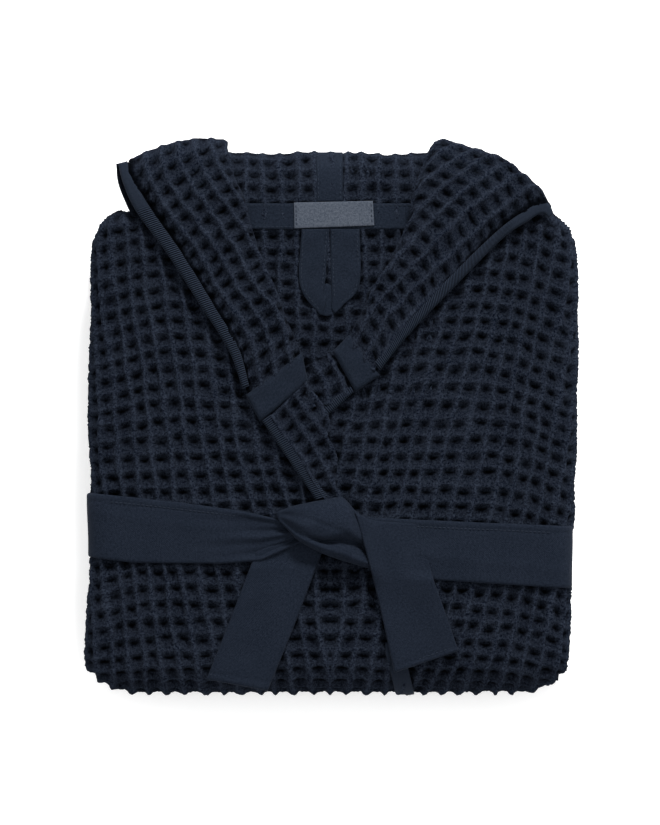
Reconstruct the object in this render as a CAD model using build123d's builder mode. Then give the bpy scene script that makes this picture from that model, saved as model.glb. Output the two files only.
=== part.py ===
"""Hooded bathrobe in waffle cloth, folded to a flat rectangle and tied with its belt.

Millimetres. The origin is on the floor under the middle of the bundle, +Z is up through the layers and
+Y points to the hood. Right and left are the wearer's, so right is -X.

The torso half of the robe lies on top and the skirt half is folded beneath it round the bottom fold, which is a
short upright wall of cloth at -Y. The hem third is folded back inside the skirt half.
"""

import os

from build123d import *

os.makedirs("parts", exist_ok=True)

# Overall size of the bundle
WIDTH = 389.0
SIDE = WIDTH / 2
HOOD_TIP = 223.5
FOLD_OUTER = -223.5

# Heights of the layers
SKIRT_TOP = 32.0
TORSO_BASE = 32.4
UNDER_TURN = 39.3
SLEEVE_BASE = 39.6
SLEEVE_TOP = 48.0
BACK_BASE = 48.3
BACK_TOP = 62.0
UNDERLAP_TOP = 62.0
UNDERLAP_BASE = 58.1
FRONT_BASE = 62.3
FRONT_TOP = 68.0
LAPEL_BASE = 68.3
LAPEL_TOP = 74.3
BINDING_TOP = 74.9

# Cloth
CLOTH = 7.0
GAP = 0.3
TAPE = 1.5
CORNER = 12.0

# Torso
TORSO_LOW = -214.0
TORSO_HIGH = 160.0
SHOULDER = 164.0

# Bottom fold: the wall between the two lines that it bends about
WALL_IN = -214.4
WALL_SPLIT = -218.4
WALL_LOW = 9.3
WALL_HIGH = 58.7
FRONT_EDGE_AT_FOLD = 66.0

# Skirt half
SKIRT_HALF_WIDTH = 191.0
SKIRT_LOW = -214.0
SKIRT_HIGH = 161.0
SKIRT_FRONT = 9.3
POCKET = 3.6
POCKET_WIDTH = 160.0
POCKET_HEIGHT = 175.0

# Hood: the top layers droop past the shoulders along one curve
DROOP_START = 176.0
DROOP_RADIUS = 70.0

# Belt
BELT_BASE = 68.3
BELT_THICK = 2.8
BELT_SIDE = 3.0
BELT_UNDER_BASE = 34.2
BELT_NOTCH_TOP = 37.2
KNOT_TOP = 86.0
TAIL_THICK = 3.0


def slab(outline, low, high, radius=0.0, mode=Mode.ADD):
    """A flat layer of cloth with the given plan outline between two heights."""
    with BuildSketch(Plane.XY.offset(low)) as plan:
        with BuildLine():
            Polyline(*outline, close=True)
        make_face()
        if radius:
            fillet(plan.vertices(), radius)
    extrude(plan.sketch, amount=high - low, mode=mode)


def block(x_low, x_high, y_low, y_high, low, high, radius=0.0, mode=Mode.ADD):
    """A rectangular layer between two heights."""
    corners = [(x_low, y_low), (x_high, y_low), (x_high, y_high), (x_low, y_high)]
    slab(corners, low, high, radius, mode)


def drape(low, high):
    """Keeps only what lies between two heights of the hood, which curve down past the shoulders."""
    centre = (DROOP_START, LAPEL_BASE - DROOP_RADIUS)
    inner = DROOP_RADIUS + low - LAPEL_BASE
    outer = DROOP_RADIUS + high - LAPEL_BASE
    with BuildSketch(Plane.YZ) as layer:
        with BuildLine():
            under = CenterArc(centre, inner, 90, -48)
            over = CenterArc(centre, outer, 42, 48)
            Line(under @ 1, over @ 0)
            Polyline(over @ 1, (-100, high), (-100, low), under @ 0)
        make_face()
    extrude(layer.sketch, amount=220, both=True, mode=Mode.INTERSECT)


# Edge of the right front where it laps over the left one
FRONT_EDGE = [(-3, 2), (8, -62), (38, -150), (FRONT_EDGE_AT_FOLD, TORSO_LOW)]

# Right front: over the left one, turned round the side and under, with its edge turned out above the belt
neck_side = 68.0
right_front_top = [
    (-SIDE, TORSO_LOW),
    (-SIDE, SHOULDER),
    (-neck_side, SHOULDER),
    (-neck_side, 150),
    (-22.7, 50.1),
] + FRONT_EDGE
belt_way = [(-200, -57), (-188, -58), (190, -84), (200, -85), (200, -141), (190, -141), (-188, -116), (-200, -115)]
right_lapel = [(-46.7, 1.6), (-18.6, 28.1), (-3, 2), (8, -60), (-2.2, -62)]

with BuildPart() as right_front_panel:
    slab(right_front_top, FRONT_BASE, FRONT_TOP)
    block(-SIDE, -SIDE + CLOTH, TORSO_LOW, TORSO_HIGH, TORSO_BASE, FRONT_TOP)
    block(-SIDE, -60, TORSO_LOW, TORSO_HIGH, TORSO_BASE, UNDER_TURN)
    slab(belt_way, TORSO_BASE, BELT_NOTCH_TOP, mode=Mode.SUBTRACT)
    block(-SIDE, -SIDE + BELT_SIDE + GAP, -116, -57, TORSO_BASE, FRONT_TOP, mode=Mode.SUBTRACT)
    side_edges = right_front_panel.edges().filter_by(Axis.Z).group_by(Axis.X)[0]
    fillet(side_edges.group_by(Axis.Y)[0], CORNER / 2)
    slab(right_lapel, FRONT_TOP, LAPEL_TOP)

# Left front: under the right one as far as its own edge
underlap = [(-60, 10), (0, 10), (SIDE, 10), (SIDE, TORSO_LOW), (6, TORSO_LOW), (-52, -62)]
left_front_top = [(p[0] + 0.4, p[1]) for p in FRONT_EDGE] + [
    (SIDE, TORSO_LOW),
    (SIDE, SHOULDER),
    (neck_side, SHOULDER),
    (neck_side, 150),
    (15, 64.3),
    (2.8, 52.1),
    (-13.8, 30),
]
left_lapel = [(1.2, 50.6), (-12.8, 28), (-4.4, 7.3), (0.4, 11.4), (18.6, 24.6)]

with BuildPart() as left_front_panel:
    slab(underlap, UNDERLAP_BASE, UNDERLAP_TOP)
    slab(left_front_top, FRONT_BASE - GAP, FRONT_TOP - 0.6)
    block(SIDE - CLOTH, SIDE, TORSO_LOW, TORSO_HIGH, TORSO_BASE, FRONT_TOP - 0.6)
    block(60, SIDE, TORSO_LOW, TORSO_HIGH, TORSO_BASE, UNDER_TURN)
    slab(belt_way, TORSO_BASE, BELT_NOTCH_TOP, mode=Mode.SUBTRACT)
    block(SIDE - BELT_SIDE - GAP, SIDE, -141, -84, TORSO_BASE, FRONT_TOP, mode=Mode.SUBTRACT)
    slab(left_lapel, FRONT_TOP - 0.6, LAPEL_TOP - 2.4)

# Back panel, between the fronts, higher where the open neck shows it
inside = SIDE - CLOTH - GAP
with BuildPart() as back_panel:
    block(-inside, inside, TORSO_LOW, TORSO_HIGH, BACK_BASE, UNDERLAP_BASE - GAP)
    block(-inside, inside, 12, TORSO_HIGH, UNDERLAP_BASE - GAP, BACK_TOP)

# Sleeves folded in behind the back, each with a turned-up cuff
with BuildPart() as right_sleeve:
    block(-180, -4, -110, 150, SLEEVE_BASE, SLEEVE_TOP, CORNER)
with BuildPart() as left_sleeve:
    block(4, 180, -110, 150, SLEEVE_BASE, SLEEVE_TOP, CORNER)
with BuildPart() as right_cuff:
    block(-174, -10, -190, -110.3, SLEEVE_BASE, SLEEVE_TOP - 0.5, CORNER / 2)
with BuildPart() as left_cuff:
    block(10, 174, -190, -110.3, SLEEVE_BASE, SLEEVE_TOP - 0.5, CORNER / 2)

# Hood: the crown is a soft roll past the shoulders, with the rest of the hood tucked inside it
crown_plan = [(-150, 160), (150, 160), (140, 196), (120, 207), (84, 213), (-84, 213.5), (-130, 211), (-150, 203)]


def crown_roll(inset, mode=Mode.ADD):
    """The crown's roll, with its side outline drawn in by the inset."""
    with BuildSketch(Plane.YZ) as roll:
        with BuildLine():
            top = Line((160.4, BACK_TOP), (DROOP_START, BACK_TOP))
            fall = CenterArc((DROOP_START, BACK_TOP - 64), 64, 90, -30)
            nose = ThreePointArc(fall @ 1, (213.6, 42), (204, 30))
            Polyline(nose @ 1, (176, 33), (160.4, 33), top @ 0)
        make_face()
        if inset:
            offset(amount=-inset, mode=Mode.REPLACE)
    extrude(roll.sketch, amount=160, both=True, mode=mode)


with BuildPart() as hood_tucked_crown:
    slab(crown_plan, 0, 100)
    crown_roll(5.4, Mode.INTERSECT)
with BuildPart() as hood_crown:
    slab(crown_plan, 0, 100)
    crown_roll(0, Mode.INTERSECT)
    crown_roll(5.0, Mode.SUBTRACT)

# Fixed inner parts of the hood's sides, from the roll line to the line the corners lift about
with BuildPart() as hood_right_side:
    slab([(-82, 221), (-63.6, 21.6), (-23.4, 51.4)], 0, 100)
    drape(LAPEL_BASE, LAPEL_TOP)
with BuildPart() as hood_left_side:
    slab([(82, 218), (68, 180), (15.4, 66), (36.4, 39.6)], 0, 100)
    drape(LAPEL_BASE, LAPEL_TOP)

# Lifting corners of the hood and the binding along its edge
right_inner_edge = [(-159.4, 196.2), (-142.6, 165.7), (-118, 130.5), (-93.5, 90.6), (-73.7, 57), (-64.6, 26)]
right_outer_edge = [(-70.5, 24), (-81.3, 53.9), (-102.7, 87.6), (-130.3, 130.5), (-154.8, 164), (-165.5, 187)]
right_corner_top = [(-169.5, 202.5), (-162.4, 207), (-100, 221.6), (-86.4, HOOD_TIP), (-82.6, 221.5)]
left_inner_edge = [(170.4, 173.3), (156.6, 165.7), (133.7, 148.8), (92.3, 109), (55.6, 70.8), (39, 47.6)]
left_outer_edge = [(42.5, 41.5), (61.7, 64.6), (98.5, 102.9), (138.2, 142.7), (158.2, 156.5), (173.4, 165.7)]
left_corner_top = [(177.6, 167), (170, 182), (152, 198), (136, 209), (105.6, 219), (88.8, HOOD_TIP), (82.8, 218.6)]

with BuildPart() as hood_right_corner:
    slab(right_inner_edge + [(-64.3, 25.5)] + right_corner_top[::-1][:4] + [(-163.5, 204)], 0, 100)
    drape(LAPEL_BASE, LAPEL_TOP)
with BuildPart() as hood_left_corner:
    slab(left_inner_edge + left_corner_top[::-1] + [(174.5, 169)], 0, 100)
    drape(LAPEL_BASE, LAPEL_TOP)

with BuildPart() as hood_right_binding:
    slab(right_inner_edge + right_outer_edge + [(-169.5, 202.3), (-164, 203.6)], 0, 100)
    drape(LAPEL_BASE, BINDING_TOP)
with BuildPart() as hood_left_binding:
    slab(left_inner_edge + left_outer_edge + [(177.4, 166.9), (174.8, 168.8)], 0, 100)
    drape(LAPEL_BASE, BINDING_TOP)

# Plain patches where the hood's edge meets the fronts
with BuildPart() as right_collar_patch:
    slab([(-67.2, 18.4), (-54.4, -3), (-46.9, 2.6), (-18.9, 28.9), (-22.9, 50.6), (-63.6, 20.8)], LAPEL_BASE, BINDING_TOP)
with BuildPart() as left_collar_patch:
    slab([(2.9, 51.7), (20.2, 21.4), (39.4, 34.4), (35.6, 39.4), (15, 64.6)], LAPEL_BASE, BINDING_TOP)

# Binding of the front edges
with BuildPart() as right_front_binding_upper:
    slab([(-54.2, -3.4), (-47, 1.6), (-2.6, -62), (-12, -64)], LAPEL_BASE, BINDING_TOP)
with BuildPart() as right_front_binding_lower:
    slab([(35.4, -142), (28, -144), (57.6, TORSO_LOW), (66, TORSO_LOW)], FRONT_TOP, FRONT_TOP + 1.0)
with BuildPart() as left_front_binding:
    slab([(19.4, 20.6), (-2.0, 2.2), (-4.6, 6.8), (0.6, 11.0), (18.8, 24.2)], LAPEL_BASE - 0.6, LAPEL_TOP - 2.2)

# Neck: tape over the seam, blank label, tape up the hood's middle seam
with BuildPart() as neck_tape:
    block(-66.9, 63.4, 150.6, 171.4, BACK_TOP + GAP, BACK_TOP + GAP + TAPE)
with BuildPart() as label:
    label_base = BACK_TOP + 2 * GAP + TAPE
    slab([(-28.9, 151), (35.5, 153.3), (34.4, 173.1), (-28.9, 171.7)], label_base, label_base + TAPE)
with BuildPart() as hood_seam_tape:
    block(-11.2, 10.2, 173.6, 212, 0, 100)
    with BuildSketch(Plane.YZ):
        with BuildLine():
            under = CenterArc((DROOP_START, BACK_TOP - 64), 64 + GAP, 90, -34)
            over = CenterArc((DROOP_START, BACK_TOP - 64), 64 + GAP + TAPE, 56, 34)
            Line(under @ 1, over @ 0)
            Polyline(over @ 1, (165, BACK_TOP + GAP + TAPE), (165, BACK_TOP + GAP), under @ 0)
        make_face()
    extrude(amount=40, both=True, mode=Mode.INTERSECT)

# Hanger loop: a tape folded to a point, with an open slit between its two legs
HANGER_BASE = BACK_TOP + GAP
HANGER_THICK = 2.4
hanger_outline = [(-22.8, 150.2), (23.8, 150.2), (23.8, 106), (3.4, 83), (-2.6, 81), (-8.7, 83), (-24.7, 106)]
with BuildPart() as hanger_loop:
    slab(hanger_outline, HANGER_BASE, HANGER_BASE + HANGER_THICK)
    slab([(0.4, 139), (1.6, 90), (-8, 93)], HANGER_BASE, HANGER_BASE + HANGER_THICK, mode=Mode.SUBTRACT)

# Belt: round the torso half, knotted in front, with two free ends
belt_top = [
    (-SIDE, -60.6),
    (-69, -75.2),
    (-40, -82),
    (18, -76),
    (45, -80.7),
    (SIDE, -87.4),
    (SIDE, -137.4),
    (83, -130.2),
    (31, -121),
    (-24, -101),
    (-55, -115),
    (-158, -116.5),
    (-SIDE, -112),
]
belt_under = [(-SIDE, -60.6), (SIDE, -87.4), (SIDE, -137.4), (-SIDE, -112)]
BELT_TOP = BELT_BASE + BELT_THICK
with BuildPart() as belt_band:
    slab(belt_top, BELT_BASE, BELT_TOP)
    slab(belt_under, BELT_UNDER_BASE, BELT_UNDER_BASE + BELT_THICK - 0.2)
    block(-SIDE, -SIDE + BELT_SIDE, -112, -60.6, BELT_UNDER_BASE, BELT_TOP)
    block(SIDE - BELT_SIDE, SIDE, -137.4, -87.4, BELT_UNDER_BASE, BELT_TOP)

knot_outline = [
    (-43.8, -76.4),
    (-29.8, -71.1),
    (-1.6, -65.3),
    (10.2, -64.3),
    (18.6, -76.4),
    (22, -98),
    (25.5, -119.6),
    (13.7, -116.2),
    (-6.3, -109.3),
    (-25, -99.9),
    (-39.8, -84),
]
with BuildPart() as belt_knot:
    slab(knot_outline, BELT_TOP + GAP, KNOT_TOP)
    fillet(belt_knot.faces().sort_by(Axis.Z)[-1].edges(), 3)

with BuildPart() as belt_tail_left:
    tail_base = BELT_TOP + GAP
    slab([(26.6, -99), (70, -86.6), (82.9, -129.8), (102.8, -186.8), (51.4, -204.7)], tail_base, tail_base + TAIL_THICK)
with BuildPart() as belt_tail_right:
    tail_outline = [(-64, -119.7), (-11.4, -122.7), (-49.9, -219), (-98.9, -209.8)]
    slab(tail_outline, BELT_BASE, BELT_BASE + TAIL_THICK)


def belt_loop(x, y_mid):
    """A short strip sewn to the torso's underside at both ends, with the belt running through it."""
    for y in (y_mid - 29.5, y_mid + 29.5):
        block(x - 5, x + 5, y - 1.5, y + 1.5, TORSO_BASE, UNDER_TURN)
    block(x - 5, x + 5, y_mid - 31, y_mid + 31, TORSO_BASE, TORSO_BASE + TAPE)


with BuildPart() as right_belt_loop:
    belt_loop(-130, -90.7)
with BuildPart() as left_belt_loop:
    belt_loop(130, -108.6)
for panel, x, y_mid in ((right_front_panel, -130, -90.7), (left_front_panel, 130, -108.6)):
    with panel:
        block(x - 6, x + 6, y_mid - 32, y_mid + 32, TORSO_BASE, UNDER_TURN, mode=Mode.SUBTRACT)

# Bottom fold: the upright stretch of both fronts, the front edge's binding and the back panel inside them
with BuildPart() as bottom_fold_right_front:
    block(-SKIRT_HALF_WIDTH, FRONT_EDGE_AT_FOLD, FOLD_OUTER + 0.6, WALL_SPLIT, WALL_LOW, WALL_HIGH)
with BuildPart() as bottom_fold_left_front:
    block(FRONT_EDGE_AT_FOLD + GAP, SKIRT_HALF_WIDTH, FOLD_OUTER + 0.6, WALL_SPLIT, WALL_LOW, WALL_HIGH)
with BuildPart() as bottom_fold_binding:
    block(58, FRONT_EDGE_AT_FOLD, FOLD_OUTER, FOLD_OUTER + 0.6, WALL_LOW, WALL_HIGH)
with BuildPart() as bottom_fold_back:
    block(-SKIRT_HALF_WIDTH, SKIRT_HALF_WIDTH, WALL_SPLIT + GAP, WALL_IN, WALL_LOW, WALL_HIGH)

# Skirt half: fronts face down and turn up round the second fold to make the hem third inside
right_pocket_x = -105
left_pocket_x = 124
pocket_y = -100
HEM_BASE = SKIRT_TOP - 5
with BuildPart() as skirt_right_front:
    block(-SKIRT_HALF_WIDTH, FRONT_EDGE_AT_FOLD, SKIRT_LOW, SKIRT_HIGH, 0, 5)
    block(-SKIRT_HALF_WIDTH, -30, SKIRT_LOW, SKIRT_HIGH, 5, SKIRT_FRONT)
    block(-SKIRT_HALF_WIDTH, FRONT_EDGE_AT_FOLD, SKIRT_HIGH - 5, SKIRT_HIGH, 0, SKIRT_TOP)
    block(-SKIRT_HALF_WIDTH, FRONT_EDGE_AT_FOLD, -150, SKIRT_HIGH, HEM_BASE, SKIRT_TOP)
    with Locations((right_pocket_x, pocket_y, 0)):
        Box(POCKET_WIDTH, POCKET_HEIGHT, 2 * POCKET, mode=Mode.SUBTRACT)
with BuildPart() as skirt_left_front:
    block(FRONT_EDGE_AT_FOLD + GAP, SKIRT_HALF_WIDTH, SKIRT_LOW, SKIRT_HIGH, 0, SKIRT_FRONT)
    block(-29.7, FRONT_EDGE_AT_FOLD + GAP, SKIRT_LOW, SKIRT_HIGH - 5.3, 5.3, SKIRT_FRONT)
    block(FRONT_EDGE_AT_FOLD + GAP, SKIRT_HALF_WIDTH, SKIRT_HIGH - 5, SKIRT_HIGH, 0, SKIRT_TOP)
    block(FRONT_EDGE_AT_FOLD + GAP, SKIRT_HALF_WIDTH, -150, SKIRT_HIGH, HEM_BASE, SKIRT_TOP)
    with Locations((left_pocket_x, pocket_y, 0)):
        Box(110, POCKET_HEIGHT, 2 * POCKET, mode=Mode.SUBTRACT)
with BuildPart() as skirt_back:
    block(-SKIRT_HALF_WIDTH + 1, SKIRT_HALF_WIDTH - 1, SKIRT_LOW, SKIRT_HIGH - 5.3, SKIRT_FRONT + GAP, HEM_BASE - GAP)

with BuildPart() as right_pocket:
    block(
        right_pocket_x - POCKET_WIDTH / 2 + GAP,
        right_pocket_x + POCKET_WIDTH / 2 - GAP,
        pocket_y - POCKET_HEIGHT / 2 + GAP,
        pocket_y + POCKET_HEIGHT / 2 - GAP,
        0,
        POCKET - GAP,
    )
with BuildPart() as left_pocket:
    block(
        left_pocket_x - 55 + GAP,
        left_pocket_x + 55 - GAP,
        pocket_y - POCKET_HEIGHT / 2 + GAP,
        pocket_y + POCKET_HEIGHT / 2 - GAP,
        0,
        POCKET - GAP,
    )
with BuildPart() as hem:
    block(-SKIRT_HALF_WIDTH, SKIRT_HALF_WIDTH, -178, -150.3, HEM_BASE, SKIRT_TOP)

PARTS = {
    "right_front_panel": right_front_panel,
    "left_front_panel": left_front_panel,
    "back_panel": back_panel,
    "right_sleeve": right_sleeve,
    "left_sleeve": left_sleeve,
    "right_cuff": right_cuff,
    "left_cuff": left_cuff,
    "hood_crown": hood_crown,
    "hood_tucked_crown": hood_tucked_crown,
    "hood_right_side": hood_right_side,
    "hood_left_side": hood_left_side,
    "hood_right_corner": hood_right_corner,
    "hood_left_corner": hood_left_corner,
    "hood_right_binding": hood_right_binding,
    "hood_left_binding": hood_left_binding,
    "right_collar_patch": right_collar_patch,
    "left_collar_patch": left_collar_patch,
    "right_front_binding_upper": right_front_binding_upper,
    "right_front_binding_lower": right_front_binding_lower,
    "left_front_binding": left_front_binding,
    "neck_tape": neck_tape,
    "label": label,
    "hood_seam_tape": hood_seam_tape,
    "hanger_loop": hanger_loop,
    "belt_band": belt_band,
    "belt_knot": belt_knot,
    "belt_tail_left": belt_tail_left,
    "belt_tail_right": belt_tail_right,
    "right_belt_loop": right_belt_loop,
    "left_belt_loop": left_belt_loop,
    "bottom_fold_right_front": bottom_fold_right_front,
    "bottom_fold_left_front": bottom_fold_left_front,
    "bottom_fold_binding": bottom_fold_binding,
    "bottom_fold_back": bottom_fold_back,
    "skirt_right_front": skirt_right_front,
    "skirt_left_front": skirt_left_front,
    "skirt_back": skirt_back,
    "right_pocket": right_pocket,
    "left_pocket": left_pocket,
    "hem": hem,
}
for name, piece in PARTS.items():
    piece.part.label = name
    export_step(piece.part, f"parts/{name}.step")
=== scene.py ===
"""Looks of a folded hooded bathrobe in waffle cloth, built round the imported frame.

Lengths in the shape code are millimetres in the frame's axes: +X to the wearer's left, +Y to the hood, +Z up.
"""

import math

import bpy
import numpy as np
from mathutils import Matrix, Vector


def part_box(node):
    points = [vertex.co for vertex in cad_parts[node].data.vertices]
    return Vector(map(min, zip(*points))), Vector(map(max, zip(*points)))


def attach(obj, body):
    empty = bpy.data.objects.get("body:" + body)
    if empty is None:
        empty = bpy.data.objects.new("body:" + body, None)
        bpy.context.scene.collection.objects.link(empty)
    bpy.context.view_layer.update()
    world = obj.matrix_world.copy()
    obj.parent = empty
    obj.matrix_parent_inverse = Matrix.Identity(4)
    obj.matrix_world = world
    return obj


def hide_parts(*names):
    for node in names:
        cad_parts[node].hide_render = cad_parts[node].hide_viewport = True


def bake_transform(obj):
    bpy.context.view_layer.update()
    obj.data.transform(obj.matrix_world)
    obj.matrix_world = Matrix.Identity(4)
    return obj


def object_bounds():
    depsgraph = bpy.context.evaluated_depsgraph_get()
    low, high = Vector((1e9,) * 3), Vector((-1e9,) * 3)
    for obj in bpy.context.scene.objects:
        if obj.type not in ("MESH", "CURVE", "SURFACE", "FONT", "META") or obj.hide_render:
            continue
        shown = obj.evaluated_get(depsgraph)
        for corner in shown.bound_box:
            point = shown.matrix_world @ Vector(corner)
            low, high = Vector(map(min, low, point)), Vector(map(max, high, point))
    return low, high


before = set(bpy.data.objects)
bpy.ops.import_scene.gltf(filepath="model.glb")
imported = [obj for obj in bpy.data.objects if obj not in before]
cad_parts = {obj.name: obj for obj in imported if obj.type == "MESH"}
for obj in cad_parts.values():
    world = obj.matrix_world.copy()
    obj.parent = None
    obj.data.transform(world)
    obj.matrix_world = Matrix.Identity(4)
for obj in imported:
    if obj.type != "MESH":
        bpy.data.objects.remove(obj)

cad_low, cad_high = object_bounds()
MM = 0.001
PI = math.pi


def node_box(node):
    """A node's lowest and highest corners in millimetres."""
    low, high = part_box(node)
    return np.array(low) / MM, np.array(high) / MM


# ---------------------------------------------------------------- sizes from the frame
FRONT_TOP = 68.0
SIDE = cad_high[0] / MM
FOLD_OUTER = cad_low[1] / MM
BACK_BASE, BACK_TOP = node_box("back_panel")[0][2], node_box("back_panel")[1][2]
LAPEL_BASE = node_box("right_collar_patch")[0][2]
LAPEL_TOP = node_box("right_collar_patch")[1][2]
BELT_BASE = node_box("belt_tail_right")[0][2]
SHOULDER = node_box("right_front_panel")[1][1]
SKIRT_END = node_box("skirt_right_front")[1][1]

FOLD_RADIUS = FRONT_TOP / 2
FOLD_Z = FRONT_TOP / 2
FOLD_Y = FOLD_OUTER + FOLD_RADIUS
FOLD_UPPER = ("bottom_fold", (0, -200, 67), (0, FOLD_OUTER, 44))
FOLD_LOWER = ("skirt", (0, FOLD_OUTER, 24), (0, -200, 1))

CELL_P, CELL_Q = 13.4, 12.5
NARROWEST_FLAT = 0.0101
RELIEF_SHARE = 1.1
RIB_PITCH, RIB_ROW = 1.7, 0.42
STEP = 1.2
HALF_BEND = 9
BINDING_THICK, PATCH_THICK, TAIL_THICK = 5.4, 6.2, 2.8


# ---------------------------------------------------------------- small maths
def smooth_noise(x, y, scale, seed):
    """A smooth seeded wandering between about -1 and 1 over lengths near scale."""
    rng = np.random.default_rng(seed)
    total = np.zeros(np.broadcast(x, y).shape)
    for _ in range(6):
        turn, phase, stretch = rng.uniform(0, 2 * PI), rng.uniform(0, 2 * PI), rng.uniform(0.7, 1.5)
        k = 2 * PI / (scale * stretch)
        total += np.sin(k * (x * math.cos(turn) + y * math.sin(turn)) + phase)
    return total / 2.6


def cell_random(i, j, seed):
    """A number from 0 to 1 that is fixed for each cell of the weave."""
    value = np.sin(i * 12.9898 + j * 78.233 + seed * 37.719) * 43758.5453
    return value - np.floor(value)


def smoothstep(low, high, x):
    t = np.clip((x - low) / (high - low), 0, 1)
    return t * t * (3 - 2 * t)


def waffle(p, q, seed, depth=4.4):
    """Height of the waffle at weave coordinates p and q, and its painted shade: 1 where a pit is shaded, below
    0 for a painted highlight on a ridge.
    """
    wp = p + 1.8 * smooth_noise(p, q, 95, seed) + 0.8 * smooth_noise(p, q, 25, seed + 1)
    wq = q + 1.8 * smooth_noise(p, q, 95, seed + 2) + 0.8 * smooth_noise(p, q, 25, seed + 3)
    cp, cq = wp / CELL_P, wq / CELL_Q
    i, j = np.floor(cp), np.floor(cq)
    u, v = 2 * (cp - i) - 1, 2 * (cq - j) - 1
    u = u + 0.34 * (cell_random(i, j, seed) - 0.5) * (1 - u * u)
    v = v + 0.3 * (cell_random(i, j, seed + 5) - 0.5) * (1 - v * v)
    low = 0.28
    skewed = np.where(v > low, (v - low) / (1 - low), (v - low) / (1 + low))
    across = ((1.2 * np.abs(u)) ** 3 + np.abs(0.96 * skewed) ** 3) ** (1 / 3)
    rise = np.sin(0.5 * PI * np.clip(across / 0.98, 0, 1)) ** 1.9
    pit = 1 - rise
    knots = 1.2 * smoothstep(0.9, 1.14, across) + 1.3 * smoothstep(0.55, 0.9, np.abs(u))
    lumps = 0.42 * np.sin(2 * PI * wp / 2.9 + 3 * i) * np.sin(2 * PI * wq / 2.7 + 2 * j)
    fuzz = 0.3 * (cell_random(np.floor(p / 1.1), np.floor(q / 1.1), seed + 13) - 0.5)
    height = -depth * (0.72 + 0.5 * cell_random(i, j, seed + 9)) * pit + knots - 0.7 + lumps * (1 - 0.4 * pit)
    # Painted shadow: a dark crescent under each pit's upper wall, where the ridge above shades it.
    droop_line = 0.5 - (0.22 + 0.2 * cell_random(i, j, seed + 19)) * (1 - (u / 0.8) ** 2)
    width = 0.15 + 0.09 * cell_random(i, j, seed + 17)
    painted_crescent_shadow = np.exp(-(((v - droop_line) / width) ** 2)) * (1 - smoothstep(0.45, 0.8, np.abs(u)))
    # Painted shade: the colour darkens towards the middle of each pit and in its crescent.
    shade = 0.36 * pit**0.8 + (0.5 + 0.45 * cell_random(i, j, seed + 15)) * painted_crescent_shadow
    # Painted highlight: ridges get a value below 0, which lightens their colour.
    shade = np.clip(shade, 0, 1) - 0.3 * smoothstep(0.8, 1.1, across)
    return height + fuzz + 0.3 * smooth_noise(p, q, 5.0, seed + 11), shade


def curve(points, t):
    """Points at shares t of the length of a smooth curve through the given points."""
    p = np.array(points, float)
    if len(p) > 2:
        ends = np.vstack([2 * p[0] - p[1], p, 2 * p[-1] - p[-2]])
        dense = []
        for k in range(len(p) - 1):
            a, b, c, d = ends[k : k + 4]
            s = np.linspace(0, 1, 24, endpoint=False)[:, None]
            square, cube = 2 * a - 5 * b + 4 * c - d, 3 * b - a - 3 * c + d
            dense.append(0.5 * (2 * b + (c - a) * s + square * s**2 + cube * s**3))
        p = np.vstack(dense + [p[-1:]])
    length = np.concatenate([[0], np.cumsum(np.linalg.norm(np.diff(p, axis=0), axis=1))])
    t = np.asarray(t, float) * length[-1]
    return np.stack([np.interp(t, length, p[:, k]) for k in range(p.shape[1])], -1)


def curve_length(points):
    d = curve(points, np.linspace(0, 1, 200))
    return float(np.linalg.norm(np.diff(d, axis=0), axis=1).sum())


def coons(left, right, bottom, top, u, v):
    """Plan points of the patch between four curves: left and right run along v, bottom and top along u."""
    lc, rc, bc, tc = curve(left, v), curve(right, v), curve(bottom, u), curve(top, u)
    uu, vv = u[None, :, None], v[:, None, None]
    ruled_u = (1 - uu) * lc[:, None] + uu * rc[:, None]
    ruled_v = (1 - vv) * bc[None] + vv * tc[None]
    corners = (
        (1 - uu) * (1 - vv) * lc[0] + uu * (1 - vv) * rc[0] + (1 - uu) * vv * lc[-1] + uu * vv * rc[-1]
    )
    return ruled_u + ruled_v - corners


def strip_sides(left, right):
    """The four sides of a patch with straight ends, from its left and right curves."""
    return left, right, [left[0], right[0]], [left[-1], right[-1]]


def axis_samples(length, step, low=0.0, high=0.0, turn=150):
    """Samples across a cloth whose ends may roll over: place from the low end, drop, distance along it."""
    place, drop, along = [], [], []
    if low:
        for angle in np.radians(np.linspace(turn, 0, max(6, int(turn / 14)), endpoint=False)):
            place.append(low * (1 - math.sin(angle)))
            drop.append(low * (1 - math.cos(angle)))
            along.append(low - low * angle)
    count = max(2, int((length - low - high) / step) + 1)
    for s in np.linspace(low, length - high, count):
        place.append(s)
        drop.append(0.0)
        along.append(s)
    if high:
        for angle in np.radians(np.linspace(turn, 0, max(6, int(turn / 14)), endpoint=False))[::-1]:
            place.append(length - high * (1 - math.sin(angle)))
            drop.append(high * (1 - math.cos(angle)))
            along.append(length - high + high * angle)
    return np.array(place), np.array(drop), np.array(along)


def grid_normals(grid):
    du = np.gradient(grid, axis=1)
    dv = np.gradient(grid, axis=0)
    n = np.cross(du, dv)
    return n / np.maximum(np.linalg.norm(n, axis=2, keepdims=True), 1e-9)


# ---------------------------------------------------------------- meshes
def make_mesh(name, verts, faces, material, weave=None, smooth=True):
    """A mesh object from millimetre points; weave is the cloth's own coordinates and painted shade at each
    point.
    """
    mesh = bpy.data.meshes.new(name)
    mesh.from_pydata((np.asarray(verts, float) * MM).tolist(), [], faces)
    if smooth:
        mesh.polygons.foreach_set("use_smooth", [True] * len(mesh.polygons))
    attribute = mesh.attributes.new("weave", "FLOAT_VECTOR", "POINT")
    if weave is None:
        weave = np.asarray(verts, float)
    attribute.data.foreach_set("vector", np.asarray(weave, np.float32).ravel())
    mesh.update()
    piece = bpy.data.objects.new(name, mesh)
    bpy.context.scene.collection.objects.link(piece)
    mesh.materials.append(material)
    return piece


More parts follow.
